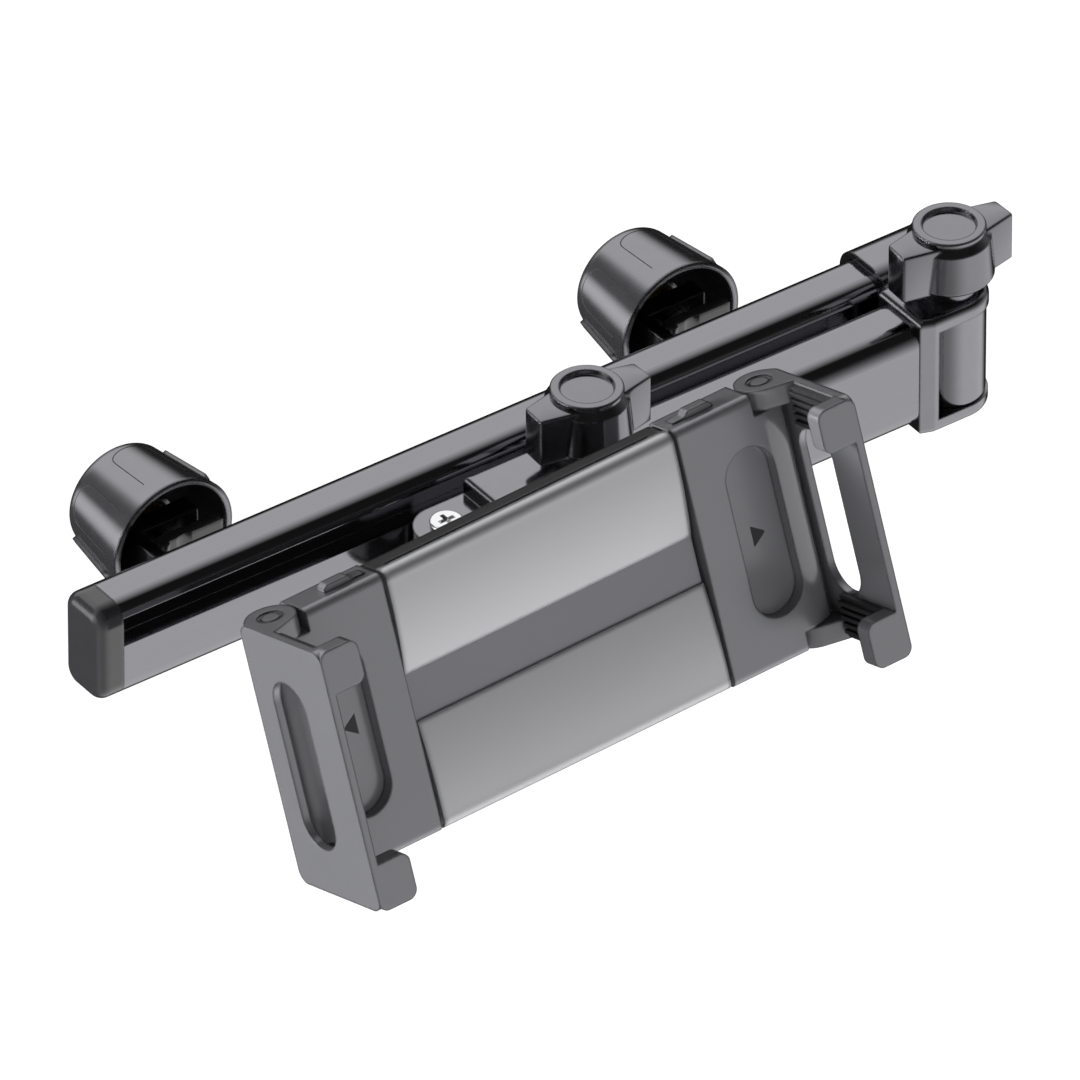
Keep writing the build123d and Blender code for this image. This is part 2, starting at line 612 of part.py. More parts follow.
# Swivel knuckle between the clevis lugs
with BuildPart() as yaw_knuckle:
    knuckle_h = LUG_BOTTOM - KNUCKLE_BOTTOM - 2 * SLIP
    with BuildSketch(Plane.XY.offset(KNUCKLE_BOTTOM + SLIP)):
        with Locations((LUG_X, HINGE_Y)):
            Circle(KNUCKLE_R)
            Circle(LUG_SCREW_R + RUN, mode=Mode.SUBTRACT)
    extrude(amount=knuckle_h)
    with BuildSketch(Plane.XZ.offset(-HINGE_Y + KNUCKLE_R - BALL_THREAD_L)):
        with Locations((LUG_X, BALL_Z)):
            Circle(BALL_SHANK_R + RUN)
    extrude(amount=BALL_THREAD_L, mode=Mode.SUBTRACT)

# Cross-recessed screw down through the lugs
with BuildPart() as lug_screw:
    with BuildSketch(Plane.XY.offset(ARM_BOTTOM + LUG_EDGE)):
        with Locations((LUG_X, HINGE_Y)):
            Circle(LUG_SCREW_R)
    extrude(amount=LUG_TOP - ARM_BOTTOM - LUG_EDGE)
    with BuildSketch(Plane.XY.offset(LUG_TOP)):
        with Locations((LUG_X, HINGE_Y)):
            Circle(LUG_HEAD_R)
    extrude(amount=LUG_HEAD_H)
    fillet(lug_screw.faces().sort_by(Axis.Z)[-1].edges(), LUG_HEAD_H / 2)
    with BuildSketch(Plane.XY.offset(LUG_TOP + LUG_HEAD_H)):
        with Locations((LUG_X, HINGE_Y)):
            Rectangle(LUG_HEAD_R, LUG_HEAD_R / 4)
            Rectangle(LUG_HEAD_R / 4, LUG_HEAD_R)
    extrude(amount=-LUG_HEAD_H * 0.7, mode=Mode.SUBTRACT)

# Ball stud: thread in the knuckle, shank, ball
with BuildPart() as ball_stud:
    with BuildSketch(Plane.XZ.offset(-HINGE_Y + KNUCKLE_R - BALL_THREAD_L)):
        with Locations((LUG_X, BALL_Z)):
            Circle(BALL_SHANK_R)
    extrude(amount=BALL_OFFSET - KNUCKLE_R + BALL_THREAD_L)
    with Locations((LUG_X, BALL_Y, BALL_Z)):
        Sphere(BALL_R)

save(yaw_knuckle.part, "yaw_knuckle")
save(lug_screw.part, "lug_screw")
save(ball_stud.part, "ball_stud")

# Collar nut that closes the ball socket, with finger grips
collar_z0 = -BALL_OFFSET - COLLAR_BACK
collar_z1 = -HOLDER_T - COLLAR_GAP
with BuildPart() as collar_nut:
    with BuildSketch(Plane.XY.offset(collar_z0)):
        Circle(COLLAR_R)
        Circle(SOCKET_R + SLIP, mode=Mode.SUBTRACT)
        with PolarLocations(COLLAR_R + COLLAR_GRIP_R / 2, COLLAR_GRIPS):
            Circle(COLLAR_GRIP_R, mode=Mode.SUBTRACT)
    extrude(amount=collar_z1 - collar_z0)
    with BuildSketch(Plane.XY.offset(collar_z0)):
        Circle(SOCKET_R + SLIP)
        Circle(COLLAR_LIP_R, mode=Mode.SUBTRACT)
    extrude(amount=COLLAR_LIP)

# Back housing: bar channels, ball socket, screw holes
housing_half_v = CORE_HALF_V - HOUSING_INSET
with BuildPart() as back_housing:
    with BuildSketch(Plane.YZ.offset(-CORE_HALF_U)):
        with Locations((0, -(HOLDER_T + COVER_T) / 2)):
            RectangleRounded(2 * housing_half_v, HOLDER_T - COVER_T, WING_EDGE)
        with Locations((0, -COVER_T - WING_EDGE / 2)):
            Rectangle(2 * housing_half_v, WING_EDGE)
        for v in (-BAR_OUTER_V, -BAR_INNER_V, BAR_INNER_V, BAR_OUTER_V):
            with Locations((v, BAR_Z)):
                Rectangle(BAR_W + 2 * PLAY, BAR_T + 2 * PLAY, mode=Mode.SUBTRACT)
    extrude(amount=2 * CORE_HALF_U)
    with BuildSketch(Plane.XY.offset(-HOLDER_T)):
        Circle(SOCKET_R)
    extrude(amount=-(BALL_OFFSET + SOCKET_OPEN - HOLDER_T))
    with Locations((0, 0, -BALL_OFFSET)):
        Sphere(BALL_R + RUN, mode=Mode.SUBTRACT)
    with BuildSketch(Plane.XZ.offset(-housing_half_v)):
        with Locations((0, GROOVE_Z)):
            SlotOverall(2 * (CORE_HALF_U - GROOVE_IN), GROOVE_W)
    extrude(amount=GROOVE_D, mode=Mode.SUBTRACT)
    with Locations(Location((0, 0, -HOLDER_T), (180, 0, 0))):
        with GridLocations(2 * COVER_SCREW_U, 2 * COVER_SCREW_V, 2, 2):
            CounterBoreHole(COVER_SCREW_R + SLIP, COVER_SCREW_HEAD_R + SLIP, COVER_SCREW_HEAD_H,
                            depth=HOLDER_T - COVER_T)

# Front cover: two curved lobes either side of the recessed band
lobe_top_v = CORE_HALF_V - COVER_EDGE
with BuildPart() as front_cover:
    with BuildSketch(Plane.YZ.offset(-CORE_HALF_U)):
        with BuildLine():
            Line((-CORE_HALF_V, -COVER_T), (CORE_HALF_V, -COVER_T))
            Line((CORE_HALF_V, -COVER_T), (CORE_HALF_V, -COVER_SIDE - COVER_EDGE / 4))
            ThreePointArc((CORE_HALF_V, -COVER_SIDE - COVER_EDGE / 4),
                          (CORE_HALF_V - COVER_EDGE * 0.25, -COVER_SIDE * 0.4), (lobe_top_v, 0))
            ThreePointArc((lobe_top_v, 0), ((lobe_top_v + BAND_TOP) / 2, -LOBE_FALL * 0.18),
                          (BAND_TOP, -LOBE_FALL))
            Polyline((BAND_TOP, -LOBE_FALL), (BAND_TOP, -BAND_FLOOR), (BAND_BOTTOM, -BAND_FLOOR),
                     (BAND_BOTTOM, -STEP_FALL))
            ThreePointArc((BAND_BOTTOM, -STEP_FALL), ((BAND_BOTTOM - lobe_top_v) / 2, -STEP_FALL * 0.18),
                          (-lobe_top_v, 0))
            ThreePointArc((-lobe_top_v, 0), (-CORE_HALF_V + COVER_EDGE * 0.25, -COVER_SIDE * 0.4),
                          (-CORE_HALF_V, -COVER_SIDE - COVER_EDGE / 4))
            Line((-CORE_HALF_V, -COVER_SIDE - COVER_EDGE / 4), (-CORE_HALF_V, -COVER_T))
        make_face()
    extrude(amount=2 * CORE_HALF_U)

with BuildPart() as centre_band:
    with BuildSketch(Plane.XY.offset(-BAND_FLOOR)):
        with Locations((0, (BAND_TOP + BAND_BOTTOM) / 2)):
            Rectangle(2 * CORE_HALF_U, BAND_TOP - BAND_BOTTOM)
    extrude(amount=BAND_T)

with BuildPart() as cover_screws:
    with BuildSketch(Plane.XY.offset(-HOLDER_T + COVER_SCREW_HEAD_H)):
        with GridLocations(2 * COVER_SCREW_U, 2 * COVER_SCREW_V, 2, 2):
            Circle(COVER_SCREW_HEAD_R)
    extrude(amount=-COVER_SCREW_HEAD_H * 0.8)
    with BuildSketch(Plane.XY.offset(-HOLDER_T + COVER_SCREW_HEAD_H)):
        with GridLocations(2 * COVER_SCREW_U, 2 * COVER_SCREW_V, 2, 2):
            Circle(COVER_SCREW_R)
    extrude(amount=HOLDER_T - COVER_T - COVER_SCREW_HEAD_H)

save_in_holder(collar_nut.part, "collar_nut")
save_in_holder(back_housing.part, "back_housing")
save_in_holder(front_cover.part, "front_cover")
save_in_holder(centre_band.part, "centre_band")
save_in_holder(cover_screws.part, "cover_screws")

# Right wing: body, slim nose round the pin, finger recess and two guide bars
fall = radians(NOSE_FALL)
nose_top = (PIN_U + NOSE_R * sin(fall), PIN_Z + NOSE_R * cos(fall))
fall_r = -nose_top[1] / (1 - cos(fall))
flat_u = nose_top[0] - fall_r * sin(fall)
with BuildPart() as wing:
    with BuildSketch(Plane.YZ.offset(WING_U0)):
        with Locations((0, -HOLDER_T / 2)):
            RectangleRounded(2 * CORE_HALF_V, HOLDER_T, WING_EDGE)
    extrude(amount=BODY_U - WING_U0)
    with BuildSketch(Plane.XZ):
        with BuildLine():
            ThreePointArc((flat_u, 0), (flat_u + fall_r * sin(fall / 2), -fall_r * (1 - cos(fall / 2))),
                          nose_top)
            Polyline(nose_top, (PIN_U, PIN_Z - NOSE_R), (RECESS_U, PIN_Z - NOSE_R), (RECESS_U, 0),
                     (flat_u, 0))
        make_face()
        with Locations((PIN_U, PIN_Z)):
            Circle(NOSE_R)
    extrude(amount=NOSE_HALF_V, both=True)
    with BuildSketch(Plane.XY):
        with Locations((RECESS_U, 0)):
            SlotOverall(RECESS_L, RECESS_W, rotation=90)
    extrude(amount=-RECESS_D, mode=Mode.SUBTRACT)
    with BuildSketch(Plane.XZ):
        with Locations((PIN_U, PIN_Z)):
            Circle(PIN_R + RUN)
    extrude(amount=NOSE_HALF_V, both=True, mode=Mode.SUBTRACT)
    tab_u0 = WING_U0 + TAB_IN
    with BuildSketch(Plane.XY.offset(PIN_Z - TAB_W / 2)):
        with BuildLine():
            Polyline((tab_u0, CORE_HALF_V - TAB_H), (tab_u0, CORE_HALF_V + TAB_H / 4),
                     (tab_u0 + TAB_L * 0.3, CORE_HALF_V + TAB_H / 3), (tab_u0 + TAB_L * 0.4, CORE_HALF_V + TAB_H),
                     (tab_u0 + TAB_L * 0.9, CORE_HALF_V + TAB_H), (tab_u0 + TAB_L, CORE_HALF_V + TAB_H / 2),
                     (tab_u0 + TAB_L, CORE_HALF_V - TAB_H), close=True)
        make_face()
    extrude(amount=TAB_W)
    with BuildSketch(Plane.YZ.offset(WING_U0)):
        with Locations((BAR_OUTER_V, BAR_Z), (-BAR_INNER_V, BAR_Z)):
            Rectangle(BAR_W, BAR_T)
    extrude(amount=-(WING_U0 + CORE_HALF_U - BAR_SHORT))

# Left wing: the same, with its bars in the other two channels
with BuildPart() as left_wing:
    add(mirror(wing.part, about=Plane.YZ))
    with BuildSketch(Plane.YZ.offset(-WING_U0)):
        Rectangle(4 * CORE_HALF_V, 4 * CORE_HALF_V)
    extrude(amount=2 * WING_U0, mode=Mode.SUBTRACT)
    with BuildSketch(Plane.YZ.offset(-WING_U0)):
        with Locations((-BAR_OUTER_V, BAR_Z), (BAR_INNER_V, BAR_Z)):
            Rectangle(BAR_W, BAR_T)
    extrude(amount=WING_U0 + CORE_HALF_U - BAR_SHORT)

save_in_holder(wing.part, "right_wing")
save_in_holder(left_wing.part, "left_wing")

# Folding jaw: slotted side plate, ears round the pin, two lips over the tablet's edge
ear_v0 = NOSE_HALF_V + EAR_GAP
plate_back = PIN_Z - NOSE_R
with BuildPart() as grip_jaw:
    with BuildSketch(Plane.YZ.offset(PLATE_U)):
        with Locations((0, (PLATE_FRONT + plate_back) / 2)):
            RectangleRounded(2 * CORE_HALF_V, PLATE_FRONT - plate_back, PLATE_CORNER)
        with Locations((0, (SLOT_Z0 + SLOT_Z1) / 2)):
            SlotOverall(2 * SLOT_HALF_V, SLOT_Z1 - SLOT_Z0, mode=Mode.SUBTRACT)
    extrude(amount=PLATE_OUT_U - PLATE_U)
    for side in (-1, 1):
        with BuildSketch(Plane.XZ.offset(-side * ear_v0)):
            with Locations((PIN_U, PIN_Z)):
                Circle(EAR_R)
            with Locations((PLATE_OUT_U - PLATE_CORNER, plate_back + PLATE_CORNER)):
                Circle(PLATE_CORNER)
            with Locations((PLATE_OUT_U - EAR_ROUND, EAR_TOP)):
                Circle(EAR_ROUND)
            make_hull()
            with Locations((PIN_U, PIN_Z)):
                Circle(PIN_R + SLIP, mode=Mode.SUBTRACT)
        extrude(amount=-side * (CORE_HALF_V - ear_v0))
        with BuildSketch(Plane.XZ.offset(-side * CORE_HALF_V)):
            with Locations((PIN_U, PIN_Z)):
                Circle(PIN_RING_R)
        extrude(amount=side * PIN_RING_D, mode=Mode.SUBTRACT)
    for v0, v1 in ((LIP_TOP_V, CORE_HALF_V), (-CORE_HALF_V, -LIP_LOW_V)):
        with BuildSketch(Plane.XY.offset(LIP_BACK)):
            with Locations(((LIP_U + PLATE_OUT_U) / 2, (v0 + v1) / 2)):
                RectangleRounded(PLATE_OUT_U - LIP_U, v1 - v0, LIP_CORNER)
            with Locations(((PLATE_U + PLATE_OUT_U) / 2, (v0 + v1) / 2)):
                Rectangle(PLATE_OUT_U - PLATE_U, v1 - v0 - 2 * LIP_CORNER)
        extrude(amount=LIP_T)

# Hinge pin through ears and nose
with BuildPart() as grip_pin:
    with BuildSketch(Plane.XZ.offset(-CORE_HALF_V + SLIP)):
        with Locations((PIN_U, PIN_Z)):
            Circle(PIN_R)
    extrude(amount=2 * CORE_HALF_V - 2 * SLIP)

# Ribbed rubber pads inside the jaw's two ends
with BuildPart() as grip_pads:
    for v0, v1 in ((LIP_TOP_V, CORE_HALF_V - PAD_RIB), (-CORE_HALF_V + PAD_RIB, -LIP_LOW_V)):
        ribs = int((v1 - v0) / PAD_RIB_PITCH)
        with BuildSketch(Plane.XY.offset(PAD_Z0)):
            with Locations(((PLATE_U + PAD_U + PAD_RIB) / 2, (v0 + v1) / 2)):
                Rectangle(PLATE_U - PAD_U - PAD_RIB, v1 - v0)
            with Locations((PAD_U + PAD_RIB, (v0 + v1) / 2)):
                with GridLocations(1, PAD_RIB_PITCH, 1, ribs):
                    Rectangle(2 * PAD_RIB, PAD_RIB_PITCH / 2)
        extrude(amount=LIP_BACK - PAD_Z0)

save_both_sides(grip_jaw.part, "grip_jaw")
save_both_sides(grip_pin.part, "grip_pin")
save_both_sides(grip_pads.part, "grip_pads")
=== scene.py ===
import math

import bmesh
import bpy
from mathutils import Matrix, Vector


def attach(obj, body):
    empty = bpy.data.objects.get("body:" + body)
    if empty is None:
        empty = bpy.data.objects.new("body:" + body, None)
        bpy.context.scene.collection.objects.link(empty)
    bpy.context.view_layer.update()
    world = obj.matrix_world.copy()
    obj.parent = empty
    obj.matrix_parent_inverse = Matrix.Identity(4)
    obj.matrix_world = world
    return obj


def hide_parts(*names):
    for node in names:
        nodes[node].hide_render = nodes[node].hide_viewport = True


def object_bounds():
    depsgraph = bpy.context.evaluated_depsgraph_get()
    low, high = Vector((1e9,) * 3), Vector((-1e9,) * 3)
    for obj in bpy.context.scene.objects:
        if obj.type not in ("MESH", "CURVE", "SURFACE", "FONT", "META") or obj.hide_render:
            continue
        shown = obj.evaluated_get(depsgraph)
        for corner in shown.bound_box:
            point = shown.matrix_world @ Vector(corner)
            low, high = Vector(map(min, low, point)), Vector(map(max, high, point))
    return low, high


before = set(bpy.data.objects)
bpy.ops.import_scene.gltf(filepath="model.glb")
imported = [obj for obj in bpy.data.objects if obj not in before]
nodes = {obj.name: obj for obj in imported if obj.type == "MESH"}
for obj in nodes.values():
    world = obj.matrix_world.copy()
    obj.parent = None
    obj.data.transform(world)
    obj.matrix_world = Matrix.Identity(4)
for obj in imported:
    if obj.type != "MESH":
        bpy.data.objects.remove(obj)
cad_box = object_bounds()
MM = 0.001


def linear(code):
    """An sRGB hex colour as linear RGBA."""
    channels = [int(code[i:i + 2], 16) / 255 for i in (1, 3, 5)]
    return [c / 12.92 if c <= 0.04045 else ((c + 0.055) / 1.055) ** 2.4 for c in channels] + [1.0]


def add(tree, kind, sockets=None, **settings):
    """One shader or geometry node, with its settings, and its sockets set or linked."""
    made = tree.nodes.new(kind)
    for name, value in settings.items():
        setattr(made, name, value)
    for name, value in (sockets or {}).items():
        if isinstance(value, bpy.types.NodeSocket):
            tree.links.new(value, made.inputs[name])
        else:
            made.inputs[name].default_value = value
    return made


def new_material(name):
    material = bpy.data.materials.new(name)
    material.use_nodes = True
    material.node_tree.nodes.clear()
    return material, material.node_tree


def new_object(name, data):
    """An object of the scene that shows a mesh, a curve or a camera."""
    made = bpy.data.objects.new(name, data)
    bpy.context.scene.collection.objects.link(made)
    return made


def paint_edge_shade(tree, tone, rounded, painted_edge_shade):
    """The tone with painted shade: it runs towards black where the rounded normal leaves the face's own,
    along tight edges.
    """
    flat = add(tree, "ShaderNodeNewGeometry")
    bend = add(tree, "ShaderNodeVectorMath", {0: rounded, 1: flat.outputs["Normal"]}, operation="DOT_PRODUCT")
    # Mask of the painted edge shade, from how far the rounded normal bends
    painted_shade_mask = add(tree, "ShaderNodeMapRange", {"Value": bend.outputs["Value"], "From Min": 0.97,
                                             "From Max": 0.80, "To Max": painted_edge_shade})
    edge_painted_tone = add(tree, "ShaderNodeMix", {"Factor": painted_shade_mask.outputs["Result"], "A": tone,
                                         "B": linear("#0C0C0D")}, data_type="RGBA")
    return edge_painted_tone.outputs["Result"]


def moulded_plastic(name, light, dark, roughness, grain_mm, grain_depth, edge_mm, coat=0.0, flake=0.0,
                    painted_edge_shade=0.0):
    """Injection-moulded plastic: even colour, fine spark-eroded grain, softly rounded edges.
    flake is the share of metal pigment in its lacquer, painted_edge_shade how dark the painted shade along
    its tight edges runs."""
    material, tree = new_material(name)
    place = add(tree, "ShaderNodeTexCoord").outputs["Object"]
    cloud = add(tree, "ShaderNodeTexNoise", {"Vector": place, "Scale": 1 / (14 * MM), "Detail": 3.0})
    colour = add(tree, "ShaderNodeMix", {"Factor": cloud.outputs["Fac"], "A": linear(dark),
                                         "B": linear(light)}, data_type="RGBA")
    grain = add(tree, "ShaderNodeTexNoise", {"Vector": place, "Scale": 1 / (grain_mm * MM), "Detail": 2.0})
    sheen = add(tree, "ShaderNodeMapRange",
                {"Value": cloud.outputs["Fac"], "To Min": roughness * 0.88, "To Max": roughness * 1.12})
    edge = add(tree, "ShaderNodeBevel", {"Radius": edge_mm * MM}, samples=4)
    bump = add(tree, "ShaderNodeBump", {"Height": grain.outputs["Fac"], "Distance": grain_depth * MM,
                                        "Strength": 0.5, "Normal": edge.outputs["Normal"]})
    edge_painted_tone = paint_edge_shade(tree, colour.outputs["Result"], edge.outputs["Normal"], painted_edge_shade)
    skin = add(tree, "ShaderNodeBsdfPrincipled",
               {"Base Color": edge_painted_tone, "Roughness": sheen.outputs["Result"],
                "Normal": bump.outputs["Normal"], "IOR": 1.5, "Metallic": flake,
                "Coat Weight": coat, "Coat Roughness": 0.08})
    add(tree, "ShaderNodeOutputMaterial", {"Surface": skin.outputs["BSDF"]})
    return material


def drawn_metal(name, light, dark, roughness, stretch, line_mm, edge_mm, metallic=1.0, painted_edge_shade=0.0):
    """Metal with faint lines along its length, from a die or a lathe tool.
    painted_edge_shade is how dark the painted shade along its tight edges runs."""
    material, tree = new_material(name)
    place = add(tree, "ShaderNodeTexCoord").outputs["Object"]
    along = add(tree, "ShaderNodeMapping", {"Vector": place, "Scale": stretch})
    lines = add(tree, "ShaderNodeTexNoise",
                {"Vector": along.outputs["Vector"], "Scale": 1 / (line_mm * MM), "Detail": 3.0})
    colour = add(tree, "ShaderNodeMix", {"Factor": lines.outputs["Fac"], "A": linear(dark),
                                         "B": linear(light)}, data_type="RGBA")
    sheen = add(tree, "ShaderNodeMapRange",
                {"Value": lines.outputs["Fac"], "To Min": roughness * 0.85, "To Max": roughness * 1.15})
    edge = add(tree, "ShaderNodeBevel", {"Radius": edge_mm * MM}, samples=4)
    bump = add(tree, "ShaderNodeBump", {"Height": lines.outputs["Fac"], "Distance": 0.004 * MM,
                                        "Strength": 0.4, "Normal": edge.outputs["Normal"]})
    edge_painted_tone = paint_edge_shade(tree, colour.outputs["Result"], edge.outputs["Normal"], painted_edge_shade)
    skin = add(tree, "ShaderNodeBsdfPrincipled",
               {"Base Color": edge_painted_tone, "Roughness": sheen.outputs["Result"],
                "Normal": bump.outputs["Normal"], "Metallic": metallic})
    add(tree, "ShaderNodeOutputMaterial", {"Surface": skin.outputs["BSDF"]})
    return material


EVEN = (1, 1, 1)
DRAWN_ALONG_X = (0.02, 1, 1)
TURNED_ABOUT_Z = (1, 1, 0.02)
# Extruded aluminium, anodised dark and sealed: a deep mirror with faint die lines along X
anodised_tube = drawn_metal("anodised_extruded_aluminium", "#929296", "#8E8E92", 0.10, DRAWN_ALONG_X,
                            0.5, 0.3)
# Die-cast zinc under clear-coated gunmetal lacquer: the same tone, a little rounder at its edges, with
# painted shade half dark along them
gunmetal_casting = drawn_metal("lacquered_zinc_casting", "#929296", "#8D8D91", 0.13, EVEN, 3.0, 0.7,
                               painted_edge_shade=0.5)
# ABS moulded against polished steel and vacuum-metallised: mirror-like, dark where the room is dark, with
# painted shade along its tight edges
metallised_abs = drawn_metal("metallised_ABS", "#8C8C90", "#86868A", 0.14, EVEN, 4.0, 0.6, painted_edge_shade=0.7)
# The casting's lacquer, thinner, over ABS: it keeps some of the plastic's own soft light on the cups, with
# nearly black painted shade along the rim and every tight edge
lacquered_cup = drawn_metal("gunmetal_lacquered_cup", "#929296", "#8C8C90", 0.15, EVEN, 4.0, 1.4,
                            metallic=0.94, painted_edge_shade=0.97)
# ABS under gunmetal lacquer with metal pigment: satin, with painted shade running dark along its tight edges
satin_shell = moulded_plastic("gunmetal_lacquered_ABS", "#919195", "#8E8E92", 0.22, 0.35, 0.002, 0.9,
                              coat=0.1, flake=0.6, painted_edge_shade=0.9)
# ABS sprayed with silver lacquer: pale and even, with a bright line where its edges roll over and painted
# shade running dark along them
silver_cover = moulded_plastic("silver_lacquered_ABS", "#CBCBCE", "#C9C9CC", 0.24, 0.3, 0.002, 2.0,
                               coat=0.15, flake=0.7, painted_edge_shade=0.8)
# The shell's gunmetal lacquer, a little flatter, on the recessed strip, with painted shade dark along its
# edges
satin_band = moulded_plastic("gunmetal_lacquered_strip", "#88888C", "#85858A", 0.3, 0.35, 0.002, 0.3,
                             coat=0.1, flake=0.5, painted_edge_shade=0.9)
# Black ABS with a glossy skin: nearly black, with clear highlights on its rounded edges
black_cap = moulded_plastic("glossy_black_ABS", "#2E2E30", "#2A2A2C", 0.16, 0.5, 0.002, 1.2, coat=0.8)
# Moulded rubber: black and dull, its grain breaks up every highlight
grip_rubber = moulded_plastic("moulded_rubber", "#1D1D1F", "#17171A", 0.5, 0.3, 0.02, 0.3)
# Steel off a lathe: mid grey, with faint tool marks
turned_steel = drawn_metal("turned_steel", "#B5B5B5", "#A2A2A4", 0.28, TURNED_ABOUT_Z, 0.3, 0.2)
# Bright zinc plate: nearly white, the palest metal of the mount
bright_zinc = drawn_metal("bright_zinc_plate", "#F4F4F6", "#EEEEF0", 0.2, EVEN, 0.6, 0.2)
# Brass off a lathe: warm, inside the knobs
turned_brass = drawn_metal("turned_brass", "#C9A35B", "#B89048", 0.26, TURNED_ABOUT_Z, 0.3, 0.2)
# Painted shade of the fine moulded grooves: nearly black and dull, a line that stands in for the shade
# between their cut walls
painted_groove_shade = moulded_plastic("groove_painted_shade", "#121213", "#0E0E0F", 0.6, 0.3, 0.002, 0.05)
# Ink pad-printed on the lacquer: flat and dark, a film without body
arrow_ink = moulded_plastic("pad_printed_ink", "#2B2B2D", "#262628", 0.45, 0.25, 0.001, 0.05)

finish_by_name = {
    "rail_extrusion": anodised_tube, "arm_bar": anodised_tube, "rail_end_cap": black_cap,
    "rear_hinge_fitting": gunmetal_casting, "arm_fork": gunmetal_casting, "arm_tongue": gunmetal_casting,
    "link_body": gunmetal_casting, "yaw_knuckle": gunmetal_casting, "lug_screw": bright_zinc,
    "collar_nut": black_cap, "back_housing": black_cap, "front_cover": silver_cover,
    "centre_band": satin_band,
}
finish_by_ending = {
    "clamp_knob": lacquered_cup, "wing_knob": metallised_abs, "clamp_bracket": metallised_abs,
    "hinge_washer": metallised_abs, "clamp_jaw": black_cap, "_wing": satin_shell,
    "grip_jaw": satin_shell, "grip_pin": satin_shell, "pads": grip_rubber, "pad": grip_rubber,
    "insert": turned_brass,
}
for node_name, shown in nodes.items():
    ending = next((e for e in finish_by_ending if node_name.endswith(e)), None)
    finish = finish_by_name.get(node_name, finish_by_ending.get(ending, turned_steel))
    shown.data.materials.clear()
    shown.data.materials.append(finish)


def ride_as_mesh(name, shape, body):
    """The evaluated shape as a plain mesh of its own, riding on a body."""
    bpy.context.view_layer.update()
    seen = shape.evaluated_get(bpy.context.evaluated_depsgraph_get())
    piece = new_object(name, bpy.data.meshes.new_from_object(seen))
    piece.data.name = name
    bpy.data.objects.remove(shape)
    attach(piece, body)


def new_tree(name, sizes):
    """An empty geometry tree with a shape going in, named sizes, and a shape coming out."""
    tree = bpy.data.node_groups.new(name, "GeometryNodeTree")
    tree.interface.new_socket("Shape", in_out="INPUT", socket_type="NodeSocketGeometry")
    for label, kind in sizes.items():
        tree.interface.new_socket(label, in_out="INPUT", socket_type=kind)
    tree.interface.new_socket("Shape", in_out="OUTPUT", socket_type="NodeSocketGeometry")
    return tree, add(tree, "NodeGroupInput")


def finish_tree(tree, shape, finish):
    whole = add(tree, "GeometryNodeRealizeInstances", {"Geometry": shape})
    skin = add(tree, "GeometryNodeSetMaterial", {"Geometry": whole.outputs["Geometry"], "Material": finish})
    add(tree, "NodeGroupOutput", {"Shape": skin.outputs["Geometry"]})


def apply_tree(shape, tree, **values):
    modifier = shape.modifiers.new(tree.name, "NODES")
    modifier.node_group = tree
    for item in tree.interface.items_tree:
        if item.in_out == "INPUT" and item.name in values:
            modifier[item.identifier] = values[item.name]


# The two clamps, by the side of their post and its X in mm
POSTS = (("left", 0.0), ("right", 140.0))

# Thread of the clamp screws: crests at a pitch of 1 mm, coarser than the real thread so that
# they show
THREAD_START_Y, THREAD_TURNS, THREAD_PITCH = 9.2, 10, 1.0
THREAD_R, CREST_R = 2.99, 0.07
thread_tree, sizes = new_tree("thread_crests", {"Start": "NodeSocketVector", "Turns": "NodeSocketInt",
                                                "Pitch": "NodeSocketFloat", "Radius": "NodeSocketFloat",
                                                "Crest": "NodeSocketFloat"})
step = add(thread_tree, "ShaderNodeCombineXYZ", {"Y": sizes.outputs["Pitch"]})
places = add(thread_tree, "GeometryNodeMeshLine", {"Count": sizes.outputs["Turns"],
                                                   "Start Location": sizes.outputs["Start"],
                                                   "Offset": step.outputs["Vector"]}, mode="OFFSET")
turn = add(thread_tree, "GeometryNodeCurvePrimitiveCircle",
           {"Resolution": 40, "Radius": sizes.outputs["Radius"]})
ridge = add(thread_tree, "GeometryNodeCurvePrimitiveCircle",
            {"Resolution": 6, "Radius": sizes.outputs["Crest"]})
ring = add(thread_tree, "GeometryNodeCurveToMesh", {"Curve": turn.outputs["Curve"],
                                                    "Profile Curve": ridge.outputs["Curve"]})
crests = add(thread_tree, "GeometryNodeInstanceOnPoints",
             {"Points": places.outputs["Mesh"], "Instance": ring.outputs["Mesh"],
              "Rotation": (math.radians(90), 0, 0)})
finish_tree(thread_tree, crests.outputs["Instances"], turned_steel)
for side, post_x in POSTS:
    blank = new_object("thread", bpy.data.meshes.new("thread"))
    apply_tree(blank, thread_tree, Start=[post_x * MM, THREAD_START_Y * MM, 0.0], Turns=THREAD_TURNS,
               Pitch=THREAD_PITCH * MM, Radius=THREAD_R * MM, Crest=CREST_R * MM)
    ride_as_mesh(side + "_clamp_thread", blank, side + "_knob")

# Finger outlines moulded round each cup knob, drawn as fine lines of painted shade up, across and down the
# tapered wall
line_tree, sizes = new_tree("groove_shade_lines", {"Width": "NodeSocketFloat"})
section = add(line_tree, "GeometryNodeCurvePrimitiveCircle",
              {"Resolution": 6, "Radius": sizes.outputs["Width"]})
drawn = add(line_tree, "GeometryNodeCurveToMesh",
            {"Curve": sizes.outputs["Shape"], "Profile Curve": section.outputs["Curve"], "Fill Caps": True})
finish_tree(line_tree, drawn.outputs["Mesh"], painted_groove_shade)
RIM_Y, RIM_R, BACK_Y, BACK_R = 9.9, 16.0, 32.9, 13.2
LINE_R, LINE_SINK = 0.13, 0.05
OUTLINE_ANGLES = ((64, 107), (137, 180), (244, 287), (317, 360))
SIDE_TOP, SIDE_LENGTH, ARCH_RISE = 16.0, 11.0, 4.0
SIDE_STEPS, ARCH_STEPS = 14, 20


